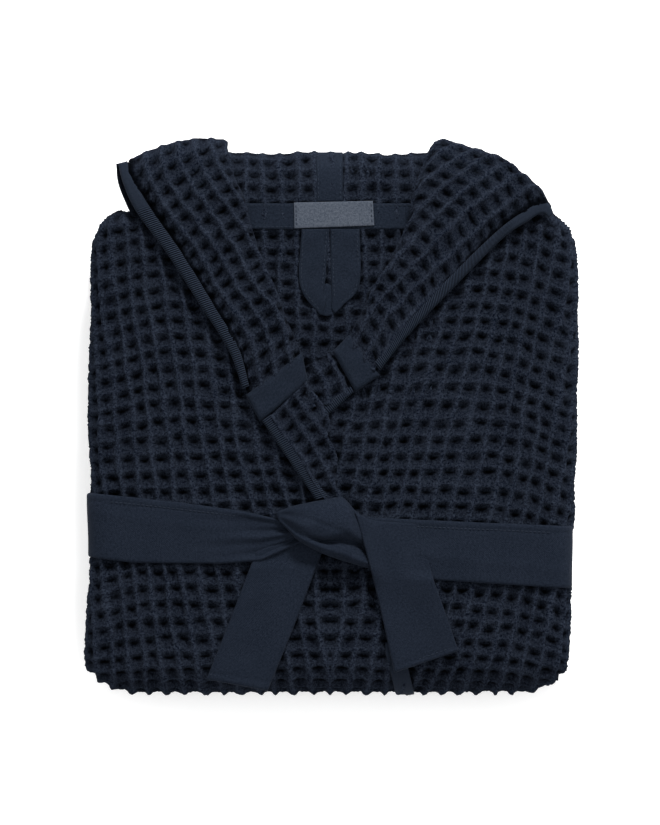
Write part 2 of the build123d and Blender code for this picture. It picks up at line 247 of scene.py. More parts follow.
def grid_faces(rows, cols, wrap=False, start=0):
    """Quads of a grid of points; wrap joins the last column to the first."""
    faces = []
    for r in range(rows - 1):
        base = start + r * cols
        for c in range(cols - 1):
            faces.append((base + c, base + c + 1, base + cols + c + 1, base + cols + c))
        if wrap:
            faces.append((base + cols - 1, base, base + cols, base + 2 * cols - 1))
    return faces


def grid_piece(name, grid, material, weave=None, flip=False):
    rows, cols = grid.shape[:2]
    faces = grid_faces(rows, cols)
    if flip:
        faces = [f[::-1] for f in faces]
    if weave is not None:
        weave = weave.reshape(-1, 3)
    return make_mesh(name, grid.reshape(-1, 3), faces, material, weave)


def waffle_piece(name, base, p, q, material, seed, depth=4.4, flip=False, soften=1.0, painted_groove_shade=0.0):
    """A cloth of waffle weave over a base grid, with its cells as real relief.

    The relief is flatter where soften is below 1, and a seam can be given painted shade.
    """
    normals = grid_normals(base) * (-1 if flip else 1)
    # The waffle's second value is painted shade and highlight; the seam's painted shade is added to it and
    # kept in the weave's third value.
    height, pit = waffle(p, q, seed, depth)
    height, pit = height * soften, pit + (1 - pit) * painted_groove_shade
    grid = base + normals * height[..., None]
    weave = np.stack([p, q, pit], -1)
    return grid_piece(name, grid, material, weave, flip)


def ring_strip(name, rings, material, weave=None, caps=True):
    """A closed strip from rings of points, one ring after another."""
    rows, cols = rings.shape[:2]
    faces = grid_faces(rows, cols, wrap=True)
    if caps:
        faces.append(tuple(range(cols))[::-1])
        faces.append(tuple((rows - 1) * cols + c for c in range(cols)))
    if weave is not None:
        weave = weave.reshape(-1, 3)
    return make_mesh(name, rings.reshape(-1, 3), faces, material, weave)


def patch(name, sides, level, thick, material, step=1.5, edge=1.3, relief=None, rows=None, mark=None):
    """A thin closed piece of cloth over the plan between four curves: level and relief give its height.

    sides is (left, right, bottom, top); relief(u, v, x, y) is added to the top face, and mark(v) is the
    weave's third
    value: where a binding's ribs get painted stripes of shade and highlight, or how much painted shade a
    waffle piece gets.
    """
    left, right, bottom, top = sides
    width = max(curve_length(bottom), curve_length(top))
    length = max(curve_length(left), curve_length(right))
    rim = np.array([0.0, 0.12, 0.4, 1.0]) * edge

    def stations(size, count):
        inner = np.linspace(edge, size - edge, max(2, count))
        return np.concatenate([rim[:-1], inner, size - rim[:-1][::-1]]) / size

    u = stations(width, int(width / step))
    v = stations(length, rows or int(length / step))
    plan = coons(left, right, bottom, top, u, v)
    du = np.minimum(u, 1 - u)[None, :] * width
    dv = np.minimum(v, 1 - v)[:, None] * length
    inset = np.minimum(np.minimum(du, dv) / edge, 1)
    swell = np.sqrt(1 - (1 - inset) ** 2)
    x, y = plan[..., 0], plan[..., 1]
    base = level(x, y)
    upper = base + thick * (0.4 + 0.6 * swell)
    if relief is not None:
        upper = upper + relief(u[None, :], v[:, None], x, y) * swell
    lower = base + 0.4 * thick * (1 - swell)
    n_rows, n_cols = x.shape
    top_verts = np.stack([x, y, upper], -1).reshape(-1, 3)
    low_verts = np.stack([x, y, lower], -1).reshape(-1, 3)
    faces = grid_faces(n_rows, n_cols)
    index = np.arange(n_rows * n_cols).reshape(n_rows, n_cols)
    below = index + n_rows * n_cols
    below[0], below[-1], below[:, 0], below[:, -1] = index[0], index[-1], index[:, 0], index[:, -1]
    below = below.ravel()
    faces += [tuple(int(below[k]) for k in f[::-1]) for f in faces]
    kept = np.unique(below[below >= n_rows * n_cols]) - n_rows * n_cols
    renumber = np.zeros(2 * n_rows * n_cols, int)
    renumber[: n_rows * n_cols] = np.arange(n_rows * n_cols)
    renumber[kept + n_rows * n_cols] = n_rows * n_cols + np.arange(len(kept))
    faces = [tuple(int(renumber[k]) for k in f) for f in faces]
    across = np.broadcast_to(u[None, :] * width, x.shape)
    along = np.broadcast_to(v[:, None] * length, x.shape)
    marks = np.zeros_like(across) if mark is None else np.broadcast_to(mark(v)[:, None], x.shape)
    cloth = np.stack([across, along, marks], -1).reshape(-1, 3)
    verts = np.vstack([top_verts, low_verts[kept]])
    piece = make_mesh(name, verts, faces, material, np.vstack([cloth, cloth[kept]]))
    area = sum(face.area for face in piece.data.polygons) / 2 / RELIEF_SHARE
    return piece, (max(width * MM, 1.02 * area / (length * MM), NARROWEST_FLAT), length * MM), area


def rounded_ring(half_x, half_z, radius, count):
    """Points round a rectangle with rounded corners, evenly spaced."""
    corner = []
    for cx, cz, start in ((1, 1, 0), (-1, 1, 90), (-1, -1, 180), (1, -1, 270)):
        for k in range(9):
            angle = math.radians(start + 90 * k / 8)
            x, z = radius * math.cos(angle), radius * math.sin(angle)
            corner.append((cx * (half_x - radius) + x, cz * (half_z - radius) + z))
    corner = np.array(corner + [corner[0]])
    length = np.concatenate([[0], np.cumsum(np.linalg.norm(np.diff(corner, axis=0), axis=1))])
    s = np.linspace(0, length[-1], count, endpoint=False)
    return np.stack([np.interp(s, length, corner[:, 0]), np.interp(s, length, corner[:, 1])], -1)


def pillow(name, low, high, material, seed, depth=1.8, step=3.0, radius=9.0):
    """A soft folded bundle of waffle cloth filling a box, with rounded edges."""
    low, high = np.array(low, float), np.array(high, float)
    centre, half = (low + high) / 2, (high - low) / 2
    radius = min(radius, half[2] * 0.98)
    count = int(4 * (half[0] + half[2]) / step)
    turn = np.radians(np.linspace(90, 0, 6))
    ends = half[1] - radius + radius * np.sin(turn)
    middle = np.linspace(half[1] - radius, -half[1] + radius, int(2 * half[1] / step))
    ys = np.concatenate([ends, middle[1:-1], -ends[::-1]])
    inset = radius - np.sqrt(np.maximum(radius**2 - np.maximum(np.abs(ys) - half[1] + radius, 0) ** 2, 0))
    rings = []
    for y, d in zip(ys, inset):
        hz = half[2] - 0.96 * d
        ring = rounded_ring(half[0] - d, hz, min(radius, hz) * 0.98, count)
        rings.append(np.stack([ring[:, 0], np.full(count, y), ring[:, 1]], -1))
    rings = np.array(rings) + centre
    du = np.roll(rings, -1, 1) - np.roll(rings, 1, 1)
    dv = np.gradient(rings, axis=0)
    normals = np.cross(du, dv)
    normals /= np.maximum(np.linalg.norm(normals, axis=2, keepdims=True), 1e-9)
    outward = np.sign((normals * (rings - centre)).sum(-1).mean())
    p, q = rings[..., 0], rings[..., 1]
    # The second value is the waffle's painted shade and highlight, kept in the weave's third value.
    height, pit = waffle(p, q, seed, depth)
    height = height - 0.8
    rings = rings + normals * outward * height[..., None]
    weave = np.stack([p, q, pit], -1)
    return ring_strip(name, rings, material, weave)


def stitch_row(points, level, spacing=3.4, length=2.3, radius=0.34):
    """Small raised stitches along a plan curve: verts and faces of one row."""
    total = curve_length(points)
    count = max(2, int(total / spacing))
    middle = (np.arange(count) + 0.5) / count
    here = curve(points, middle)
    ahead = curve(points, np.minimum(middle + 0.004, 1)) - curve(points, np.maximum(middle - 0.004, 0))
    ahead /= np.linalg.norm(ahead, axis=1, keepdims=True)
    verts, faces = [], []
    for (x, y), (dx, dy) in zip(here, ahead):
        z = float(level(np.array(x), np.array(y)))
        start = len(verts)
        for s, r in ((-0.5, 0.35), (-0.28, 1.0), (0.28, 1.0), (0.5, 0.35)):
            for k in range(6):
                side, up = math.cos(k * PI / 3) * radius * r, math.sin(k * PI / 3) * radius * r
                rise = 0.16 * radius * (1 - (2 * s) ** 2)
                along = s * length
                verts.append((x + dx * along - dy * side, y + dy * along + dx * side, z + up + rise))
        for ring in range(3):
            for k in range(6):
                a, b = start + ring * 6 + k, start + ring * 6 + (k + 1) % 6
                faces.append((a, b, b + 6, a + 6))
        faces.append(tuple(range(start + 5, start - 1, -1)))
        faces.append(tuple(range(start + 18, start + 24)))
    return verts, faces


# ---------------------------------------------------------------- materials
def set_inputs(tree, node, inputs):
    """Sets a node's inputs by name: another node's socket is linked, anything else is the value."""
    for key, value in inputs.items():
        if isinstance(value, bpy.types.NodeSocket):
            tree.links.new(value, node.inputs[key])
        else:
            node.inputs[key].default_value = value


def cloth_material(name, dark, light, mottling, weave, bump, painted_shade_strength=0.0, ribbed=False, gloss=0.03, sheen=0.03):
    """Cloth with mottled yarn colour, fine threads and fuzz.

    weave is "plain", "twill" or "knit": how the fine threads run. The shade strength paints shade into the
    waffle's hollows, and ribbed paints the ribs across a binding as stripes of painted shade and highlight
    where its piece marks them.
    """
    material = bpy.data.materials.new(name)
    material.use_nodes = True
    tree = material.node_tree

    def add(kind, output, inputs, **settings):
        node = tree.nodes.new(f"ShaderNode{kind}")
        for key, value in settings.items():
            setattr(node, key, value)
        set_inputs(tree, node, inputs)
        return node.outputs[output]

    def noise(scale, detail):
        return add("TexNoise", "Fac", {"Scale": scale, "Detail": detail, "Roughness": 0.6, "Vector": place})

    def wave(direction, scale):
        inputs = {"Scale": scale, "Distortion": 1.2, "Detail": 1.0, "Vector": place}
        return add("TexWave", "Fac", inputs, bands_direction=direction)

    def calc(operation, a, b):
        return add("Math", 0, {0: a, 1: b}, operation=operation)

    def mix(inputs, **settings):
        return add("Mix", "Result", inputs, data_type="RGBA", **settings)

    place = add("Attribute", "Vector", {}, attribute_name="weave")
    broad, yarn, fuzz = noise(0.035, 2.0), noise(0.5, 3.0), noise(1.0, 2.0)
    fine = calc("ADD", calc("MULTIPLY", yarn, 0.5), calc("MULTIPLY", fuzz, 0.38))
    blend = calc("ADD", calc("MULTIPLY", broad, 0.12), fine)
    span = {"From Min": 0.5 - mottling, "From Max": 0.5 + mottling, "Value": blend}
    share = add("MapRange", "Result", span)
    colour = mix({"A": (*dark, 1), "B": (*light, 1), "Factor": share})
    # Painted shade and highlight: the weave's third value scales a grey that multiplies the colour, darkening
    # the waffle's hollows and the gaps between a binding's ribs, and lightening ridges and rib tops.
    if painted_shade_strength or ribbed:
        rows = add("SeparateXYZ", "Y", {"Vector": place})
        mark = rows.node.outputs["Z"]
        if ribbed:
            turn = calc("SINE", calc("MULTIPLY", rows, 2 * PI / RIB_PITCH), 0.0)
            painted_shade_strength = calc("MULTIPLY", calc("SUBTRACT", 0.1, turn), 1.1)
        shade = calc("SUBTRACT", 1.0, calc("MULTIPLY", mark, painted_shade_strength))
        painted_shade_grey = add("CombineColor", "Color", {"Red": shade, "Green": shade, "Blue": shade})
        colour = mix({"Factor": 1.0, "A": colour, "B": painted_shade_grey}, blend_type="MULTIPLY")
    if weave == "plain":
        threads = calc("MULTIPLY", wave("X", 0.55), wave("Y", 0.55))
    elif weave == "twill":
        threads = wave("DIAGONAL", 0.42)
    else:
        threads = calc("MAXIMUM", wave("X", 0.3), wave("Y", 0.34))
    relief = calc("ADD", calc("MULTIPLY", threads, 0.5), calc("ADD", fuzz, yarn))
    looks = {
        "Base Color": colour,
        "Roughness": add("MapRange", "Result", {"To Min": 0.82, "To Max": 0.98, "Value": yarn}),
        "Specular IOR Level": gloss,
        "Sheen Weight": sheen,
        "Sheen Roughness": 0.45,
        "Sheen Tint": (0.32, 0.38, 0.52, 1),
        "Normal": add("Bump", "Normal", {"Strength": bump, "Distance": 0.0009, "Height": relief}),
    }
    set_inputs(tree, tree.nodes["Principled BSDF"], looks)
    return material


# The waffle cloth's colour is darkened in its pits and lightened on its ridges: painted shade and highlight.
WAFFLE = cloth_material(
    "waffle_cloth",
    (0.0009, 0.0016, 0.004),
    (0.0158, 0.0203, 0.0304),
    0.125,
    "knit",
    0.8,
    painted_shade_strength=0.98,
    gloss=0.0,
)
BELT = cloth_material("belt_cloth", (0.0038, 0.006, 0.0107), (0.0102, 0.0138, 0.0222), 0.13, "twill", 0.4)
TAPE = cloth_material("plain_tape", (0.0036, 0.0058, 0.0102), (0.01, 0.0137, 0.0219), 0.13, "plain", 0.4)
# The binding's ribs are raised and also painted as light and dark stripes: painted shade and highlight.
BINDING = cloth_material(
    "ribbed_binding", (0.0062, 0.009, 0.0148), (0.0105, 0.0142, 0.0222), 0.16, "plain", 0.3, ribbed=True
)
LABEL = cloth_material(
    "label_leather", (0.026, 0.033, 0.045), (0.058, 0.066, 0.083), 0.13, "plain", 0.2, sheen=0.0
)
THREAD = cloth_material("stitch_thread", (0.011, 0.0145, 0.0225), (0.018, 0.023, 0.034), 0.2, "twill", 0.2)


def finish_piece(piece, body, nodes=(), blend=None):
    """Fixes a piece to its body, or bakes its placement into its mesh when it is given a bend, and hides the
    nodes it stands for.
    """
    if blend:
        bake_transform(piece)
    else:
        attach(piece, body)
    if nodes:
        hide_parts(*nodes)
    return piece


def sew(
    name,
    sides,
    level,
    thick,
    material,
    body,
    nodes=(),
    slot=None,
    held="folded",
    rests_on=(),
    blend=None,
    **shape,
):
    """A patch of cloth, joined to its body."""
    piece, size, area = patch(name, sides, level, thick, material, **shape)
    finish_piece(piece, body, nodes, blend)


def bundle(name, low, high, body, node, seed, **shape):
    """A folded layer that lies inside the robe, as a pad of waffle cloth."""
    piece = pillow(name, low, high, WAFFLE, seed, **shape)
    finish_piece(piece, body, [node])


def stitches(name, rows, body):
    """All the stitch rows of one piece: rows are (points, level) pairs."""
    verts, faces = [], []
    for points, level in rows:
        row_verts, row_faces = stitch_row(points, level)
        faces += [tuple(k + len(verts) for k in face) for face in row_faces]
        verts += row_verts
    finish_piece(make_mesh(name, verts, faces, THREAD), body)


# ---------------------------------------------------------------- outlines in plan
LEFT_OUTLINE = [
    (-221, -189), (-212, -194.5), (-194, -196), (-146, -194), (-88, -190.5), (0, -193), (133, -190.5),
    (170, -186),
]
RIGHT_OUTLINE = [
    (-221, 185), (-212, 189), (-186, 191), (-138, 193), (-112, 191), (-82, 195), (14, 198),
    (94, 198.4), (133, 197), (150, 194), (170, 188),
]
FRONT_EDGE = [(-3, 2), (8, -62), (22, -108), (38, -150), (58, -198), (66, -224)]
ROLL_RIGHT = [(-22.7, 50.1), (-43, 101), (-62.9, 152), (-66.8, 171.8), (-77.5, 194.7), (-82, 221)]
ROLL_LEFT = [(15, 64.3), (38, 108), (60, 148), (64.8, 171.8), (70.9, 191.7), (78.6, 213)]
BIND_IN_RIGHT = [
    (-64.5, 24.9), (-73.7, 57), (-93.5, 90.6), (-118, 130.5), (-142.6, 165.7), (-157.6, 191),
    (-162.4, 205),
]
BIND_OUT_RIGHT = [
    (-69.8, 22.6), (-81.3, 53.9), (-102.7, 87.6), (-130.3, 130.5), (-154.8, 164), (-165.5, 187),
    (-169.6, 203),
]
BIND_IN_LEFT = [
    (35.2, 43), (55.6, 70.8), (92.3, 109), (133.7, 148.8), (156.6, 165.7), (168.6, 172.6),
    (175.2, 170.4), (178.8, 162.8),
]
BIND_OUT_LEFT = [
    (40, 37.2), (61.7, 64.6), (98.5, 102.9), (138.2, 142.7), (158.2, 156.5), (166, 161.6),
    (171.4, 162.2), (174.8, 158.6),
]
BELT_UPPER = [(-194, -60.6), (-154.8, -64.5), (-108.9, -69.8), (-69, -75.2), (-40, -82), (-5, -84)]
BELT_LOWER = [(-194, -111.9), (-157.8, -116.5), (-85.9, -117.3), (-55.3, -115), (-24.6, -101), (-5, -97)]
BELT_UPPER_RIGHT = [(20, -78), (35.4, -80.7), (45.7, -80.9), (120, -84.4), (195, -87.4)]
BELT_LOWER_RIGHT = [(30, -118), (60, -127), (83.1, -130.2), (130, -133.4), (195, -137.4)]


def at_y(points, y):
    """The x of a plan curve at a height y in plan."""
    p = sorted(points, key=lambda point: point[1])
    return np.interp(y, [c[1] for c in p], [c[0] for c in p])


def outline_at(table, y):
    return np.interp(y, [row[0] for row in table], [row[1] for row in table])


def side_limit(table, y):
    """Half width of the body at a plan height, drawn in round the corners at both ends."""
    x = np.abs(outline_at(table, y))
    for end, reach, draw in ((SHOULDER + 1.5, 27, 22), (FOLD_OUTER + 1, -17, 15)):
        past = np.clip((y - end + reach) / reach, 0, 1)
        x = x - draw * (1 - np.sqrt(1 - past**2))
    return x


def belt_press(x, y):
    """How much the belt draws the cloth in, from 0 to 1."""
    middle = np.interp(x, [-194, 0, 194], [-88, -96, -111])
    return 1 - smoothstep(24, 34, np.abs(y - middle))


def lapel_press(x, y):
    """Share from 0 to 1 of how far the cloth is pressed under a lapel."""
    right = smoothstep(-14, 2, x - at_y(BIND_OUT_RIGHT, y)) * (x < 0)
    left = smoothstep(-14, 2, at_y(BIND_OUT_LEFT, y) - x) * (x > 0)
    return np.where(y > 18, np.maximum(right, left), 0)


def hang_weave(p, q, side):
    """Weave coordinates of a front as it hangs: columns lean in to the belt, rows fall away at the side."""
    out = np.abs(p)
    past = np.clip(out - 112, 0, 78)
    if side < 0:
        return -0.9 * out - 0.0019 * past**2 + 0.12 * q, 0.94 * q + 0.0015 * past**2
    return 0.94 * out + 0.0011 * past**2 - 0.2 * q, 0.93 * q + 0.0033 * past**2


# ---------------------------------------------------------------- fronts, folded across the hem half
def front_rows(lower, step):
    """Fold angle, reach and tip angle of a front's rows, from the shoulder or on round under the skirt."""
    fold = 53
    if lower:
        end_y = SKIRT_END - 10 - FOLD_Y
        bend = np.radians(np.linspace(90, 180, int(fold / 1.6)))
        flat = np.linspace(0, end_y, int(end_y / step))[1:]
        end = np.radians(np.linspace(0, 170, 16))[1:]
        angles = np.concatenate([bend, np.full(len(flat) + len(end), PI)])
        reach = np.concatenate([np.zeros(len(bend)), flat, np.full(len(end), flat[-1])])
        tips = np.concatenate([np.zeros(len(bend) + len(flat)), end])
        return angles, reach, tips
    end_y = SHOULDER - 13 - FOLD_Y
    end = np.radians(np.linspace(170, 0, 18))[:-1]
    flat = np.linspace(end_y, 0, int(end_y / step))
    bend = np.radians(np.linspace(0, 90, int(fold / step))[1:])
    angles = np.concatenate([np.zeros(len(end) + len(flat)), bend])
    reach = np.concatenate([np.full(len(end), flat[0]), flat, np.zeros(len(bend))])
    tips = np.concatenate([end, np.zeros(len(flat) + len(bend))])
    return angles, reach, tips


def inner_edge(side, lower, y):
    """The x of a front's inner edge at a height y in plan: free below, under the hood's side above."""
    if lower:
        return np.full_like(y, 66.0 if side < 0 else 57.0)
    if side < 0:
        edge, roll = at_y(FRONT_EDGE, y), at_y(ROLL_RIGHT, y) - 11
        heights, places = [2, 30, 62], [-3, -34, -38.5]
    else:
        edge, roll = at_y(FRONT_EDGE, y) - 9, at_y(ROLL_LEFT, y) + 11
        heights, places = [2, 40, 78], [-12, 14, 33.5]
    between = np.interp(y, heights, places)
    return np.where(y < heights[0], edge, np.where(y < heights[-1], between, roll))


def press_front(side, x, y):
    """How far a front's top face is pressed down or lies low."""
    belt = belt_press(x, y)
    pressed = 2.2 * lapel_press(x, y) + 1.2 * belt + 0.54 * (1 + smooth_noise(x, y, 110, 40)) * (1 - belt)
    past_edge = at_y(FRONT_EDGE, y) - x
    if side > 0:
        return pressed + 3.6 * (1 - smoothstep(-1, 13, -past_edge)) * (y < 30)
    near = np.clip(1 - past_edge / 3.2, 0, 1)
    return pressed + 4.2 * (1 - np.sqrt(1 - near**2)) * (y < 2)


def front_grid(side, lower, step):
    """Base surface of one front: across from its inner edge to the side, round it and back under.

    side is -1 for the wearer's right front and 1 for the left. Returns the grid and its weave coordinates.
    """
    tip_size, side_roll, side_cloth, turn = 14.0, 18.0, 32.5, -1 if lower else 1
    angle, reach, tip = front_rows(lower, step)
    plan_y = FOLD_Y + reach + tip_size * np.sin(tip) - FOLD_RADIUS * np.sin(angle)
    table = LEFT_OUTLINE if side < 0 else RIGHT_OUTLINE
    out = side_limit(table, np.clip(plan_y, FOLD_OUTER + 1, SHOULDER + 1))
    if lower:
        out = np.minimum(out, 193.0)
    flat_out = (out - side_roll)[:, None]
    inner = side * inner_edge(side, lower, plan_y)[:, None]
    share = np.linspace(0, 1, int(float(np.max(flat_out - inner)) / step))
    roll = np.radians(np.linspace(0, 180, 26))[1:]
    under_reach = SIDE - 20.5 - 66 * side if lower else 120.0
    under = np.linspace(0, under_reach, int(under_reach / (3.0)))[1:]
    round_side = 0.5 + 0.5 * np.sign(np.cos(roll)) * np.abs(np.cos(roll)) ** 0.8
    rho = np.concatenate([np.ones(len(share)), round_side, np.zeros(len(under))])[None, :]
    on_top = inner + (flat_out - inner) * share
    across = np.hstack([on_top, flat_out + side_roll * np.sin(roll) ** 0.8, flat_out - under])
    along_side = flat_out + side_cloth * np.linspace(0, PI / 2, len(roll) + 1)[1:]
    p = side * np.hstack([on_top, along_side, along_side[:, -1:] + under])
    x, y_plan = side * across, np.broadcast_to(plan_y[:, None], across.shape)
    top = FOLD_RADIUS - 1.0 - 0.8 * lower
    tip_share = 0.5 + 0.5 * np.cos(tip)
    lift = 0.8 + (top - 0.8) * rho * tip_share[:, None]
    if not lower:
        lift = lift - press_front(side, x, y_plan) * (rho > 0.99) * (np.sin(angle)[:, None] < 0.98)
        lift = lift + 3.4 * belt_press(x, y_plan) * (rho < 0.5) * (1 - rho)
    z = FOLD_Z + lift * np.cos(angle)[:, None]
    y = FOLD_Y + (reach + tip_size * np.sin(tip))[:, None] - lift * np.sin(angle)[:, None]
    q = turn * reach - FOLD_RADIUS * angle + FOLD_Y + turn * tip_size * tip
    return np.stack([x, y, z], -1), p, np.broadcast_to(q[:, None], p.shape)


def build_fronts():
    for side, name in ((-1, "right"), (1, "left")):
        base, p, q = front_grid(side, False, STEP)
        hung, flip = hang_weave(p, q, side), side > 0
        soften = 1 - 0.6 * smoothstep(SHOULDER - 8, SHOULDER, base[..., 1])
        piece = waffle_piece(f"{name}_front_cloth", base, *hung, WAFFLE, 3 + side, flip=flip, soften=soften)
        finish_piece(piece, "torso", [f"{name}_front_panel"], blend=FOLD_UPPER)
        base, p, q = front_grid(side, True, 2.2)
        hung = hang_weave(p, q, side)
        piece = waffle_piece(f"{name}_skirt_cloth", base, *hung, WAFFLE, 3 + side, depth=2.6, flip=flip)
        nodes = [f"skirt_{name}_front", f"bottom_fold_{name}_front"]
        finish_piece(piece, "bottom_fold", nodes, blend=FOLD_LOWER)


# ---------------------------------------------------------------- back and hood
DROOP_Y = 176.0


def droop(y, level):
    """Height of a hood layer that is level up to the shoulders and curves down past them."""
    radius = level + 1.7
    past = np.clip(y - DROOP_Y, 0, radius * 0.92)
    return np.sqrt(radius**2 - past**2) - 1.7


def flat_at(level):
    return lambda x, y: np.full(np.broadcast(x, y).shape, float(level))


def droop_at(level):
    return lambda x, y: droop(y, level)


def build_back():
    x, y = np.linspace(-84, 84, int(168 / STEP)), np.linspace(14, 166, int(152 / STEP))
    gx, gy = np.meshgrid(x, y)
    level = BACK_TOP - 0.2 + 0.5 * smooth_noise(gx, gy, 60, 70)
    base = np.stack([gx, gy, level], -1)
    piece = waffle_piece("back_neck_cloth", base, gx, gy, WAFFLE, 9)
    finish_piece(piece, "torso")
    low, high = (-180, -192, BACK_BASE + 0.4), (180, 153, BACK_TOP - 5.4)
    bundle("back_cloth", low, high, "torso", "back_panel", 10, radius=4.4)


def build_crown():
    section = [
        (158, 62), (176, 62), (188, 61), (199, 58), (207.5, 52.5), (212.4, 46), (213.4, 40.5),
        (210, 35), (203, 32), (190, 32), (166, 33),
    ]
    rows = int(curve_length(section) / (STEP * 1.1))
    line = curve(section, np.linspace(0, 1, rows))
    x = np.linspace(-149, 149, int(298 / (STEP * 1.1)))
    nose = np.interp(np.abs(x), [0, 84, 120, 140, 149], [213.5, 213, 207, 196, 182])
    nose = nose + 1.3 * smooth_noise(x, x * 0, 55, 77)
    end = smoothstep(149, 128, np.abs(x))
    gx = np.broadcast_to(x, (rows, len(x)))
    gy = 158 + (line[:, :1] - 158) * ((nose - 158) / (213.5 - 158))
    gz = 46 + (line[:, 1:] - 46) * (0.25 + 0.75 * end)
    gz = gz + 0.7 * smooth_noise(gx, gy, 70, 78)
    base = np.stack([gx, gy, gz], -1)
    q = np.broadcast_to(np.linspace(0, curve_length(section), rows)[:, None], gx.shape)
    soften = 1 - 0.7 * smoothstep(202, 211, line[:, :1])
    piece = waffle_piece("hood_crown_cloth", base, gx, q + 158, WAFFLE, 9, depth=4.0, soften=soften)
    finish_piece(piece, "torso", ["hood_crown"])
    low, high = (-140, 163, 38), (140, 203, 55)
    bundle("hood_tucked_cloth", low, high, "torso", "hood_tucked_crown", 12, radius=8)


def lapel(name, sides, level, roll_on_right, seed, hinge, nodes):
    """One turned-out side of the hood, from the binding to the line where it rolls down into the neck."""
    left, right, bottom, top = sides
    width = 0.5 * (curve_length(bottom) + curve_length(top))
    length = 0.5 * (curve_length(left) + curve_length(right))
    roll = 7.0
    low, high = (0.0, roll) if roll_on_right else (roll, 0.0)
    place_u, drop_u, along_u = axis_samples(width, STEP, low, high, 125)
    place_v, drop_v, along_v = axis_samples(length, STEP, 0.0, 8.0, 110)
    u, v = place_u / width, place_v / length
    plan = coons(left, right, bottom, top, np.clip(u, 0, 1), np.clip(v, 0, 1))
    x, y = plan[..., 0], plan[..., 1]
    swell = smooth_noise(x, y, 85, seed + 60) * 0.9
    near_tip = smoothstep(0.75, 1.0, v)[:, None]
    turned = np.maximum(drop_u[None, :], 1.1 * drop_v[:, None])
    corner = np.minimum(drop_u[None, :], drop_v[:, None])
    z = droop(y, level + swell) - turned + 0.8 * near_tip
    from_binding = (u if roll_on_right else 1 - u)[None, :] * width
    # The cloth sinks into a groove along the binding, and that groove also gets painted shade in its colour.
    seam = 1 - smoothstep(2.6, 5.2, from_binding)
    z = z - 2.4 * seam
    base = np.stack([x, y, z], -1)
    local = np.linalg.norm(curve(right, v) - curve(left, v), axis=1)[:, None]
    p = (along_u / width)[None, :] * local if roll_on_right else (1 - along_u / width)[None, :] * local
    run_left, run_right = curve_length(left), curve_length(right)
    q = (along_v / length)[:, None] * ((1 - u[None, :]) * run_left + u[None, :] * run_right)
    soften = (1 - 0.75 * smoothstep(0.2, 5, turned)) * (1 - smoothstep(0.3, 2, corner))
    piece = waffle_piece(name, base, p, q, WAFFLE, seed, depth=4.0, soften=soften, painted_groove_shade=0.95 * seam)
    (x0, y0), (x1, y1) = hinge
    ahead = np.array([x1 - x0, y1 - y0]) / math.hypot(x1 - x0, y1 - y0)
    out = np.array([-ahead[1], ahead[0]]) * (1 if roll_on_right else -1)
    middle = np.array([(x0 + x1) / 2, (y0 + y1) / 2])
    start, end = middle - out * HALF_BEND, middle + out * HALF_BEND
    flap = "right_hood_flap" if roll_on_right else "left_hood_flap"
    bend = (flap, (*start, level), (*end, level))
    finish_piece(piece, "torso", nodes, blend=bend)


def ribbed_until(stop):
    """Where a binding is ribbed: 1 up to a share of its length, then 0."""
    return lambda v: 1 - smoothstep(stop - 0.02, stop + 0.02, v)


def ribs(length, stop):
    """Relief of ribs across a binding, which fade out into its plain end."""
    ribbed = ribbed_until(stop)

    def relief(u, v, x, y):
        shape = 0.5 + 0.5 * np.sin(2 * PI * v * length / RIB_PITCH)
        crown = 1 - (2 * u - 1) ** 2
        return 0.8 * shape * ribbed(v) * (0.4 + 0.6 * crown) + 0.5 * crown

    return relief


def binding(name, left, right, counted, level, plain_from, body, node=None, edge=1.5):
    """A strip ribbed up to a share of its length, between two curves; its rows are spaced along counted."""
    run = max(curve_length(left), curve_length(right))
    relief, rows = ribs(run, plain_from), int(curve_length(counted) / RIB_ROW)
    # The mark sets where the ribs get painted stripes of shade and highlight in the binding's colour.
    shape = {"step": 1.0, "edge": edge, "relief": relief, "rows": rows, "mark": ribbed_until(plain_from)}
    sides = strip_sides(left, right)
    sew(f"{name}_cloth", sides, level, BINDING_THICK, BINDING, body, [node or name], "ribbed_binding", **shape)


def build_hood():
    level = LAPEL_TOP - 1.0
    right_sides = (
        [(-66, 17)] + [(x - 2.2, y) for x, y in BIND_IN_RIGHT[1:-1]] + [(-161.5, 205.5)],
        [(-21, 46)] + ROLL_RIGHT[1:],
        [(-66, 17), (-21, 46)],
        [(-161.5, 205.5), (-150, 211.5), (-130, 219.5), (-105, 223.8), (-88, 223.6), (-82, 221)],
    )
    nodes = ["hood_right_side", "hood_right_corner"]
    lapel("hood_right_cloth", right_sides, level, True, 21, ((-64, 24), (-82.3, 221.2)), nodes)
    left_top = [(78.6, 213), (84, 221), (92, 223), (105.6, 219), (136, 209), (154, 196), (169, 182)]
    left_sides = (
        [(13.4, 61.6)] + ROLL_LEFT[1:],
        [(35.4, 36)] + [(x + 1.4, y - 1.8) for x, y in BIND_IN_LEFT[1:-2]] + [(177, 168)],
        [(13.4, 61.6), (35.4, 36)],
        left_top + [(177, 168)],
    )
    nodes = ["hood_left_side", "hood_left_corner"]
    lapel("hood_left_cloth", left_sides, level, False, 24, ((37.8, 43.5), (82.4, 218.3)), nodes)
    level = droop_at(LAPEL_BASE + 0.4)
    for name, left, right, counted, flap in (
        ("hood_right_binding", BIND_OUT_RIGHT, BIND_IN_RIGHT, BIND_IN_RIGHT, "right_hood_flap"),
        ("hood_left_binding", BIND_IN_LEFT, BIND_OUT_LEFT, BIND_IN_LEFT, "left_hood_flap"),
    ):
        binding(name, left, right, counted, level, 0.8, flap, edge=1.6)


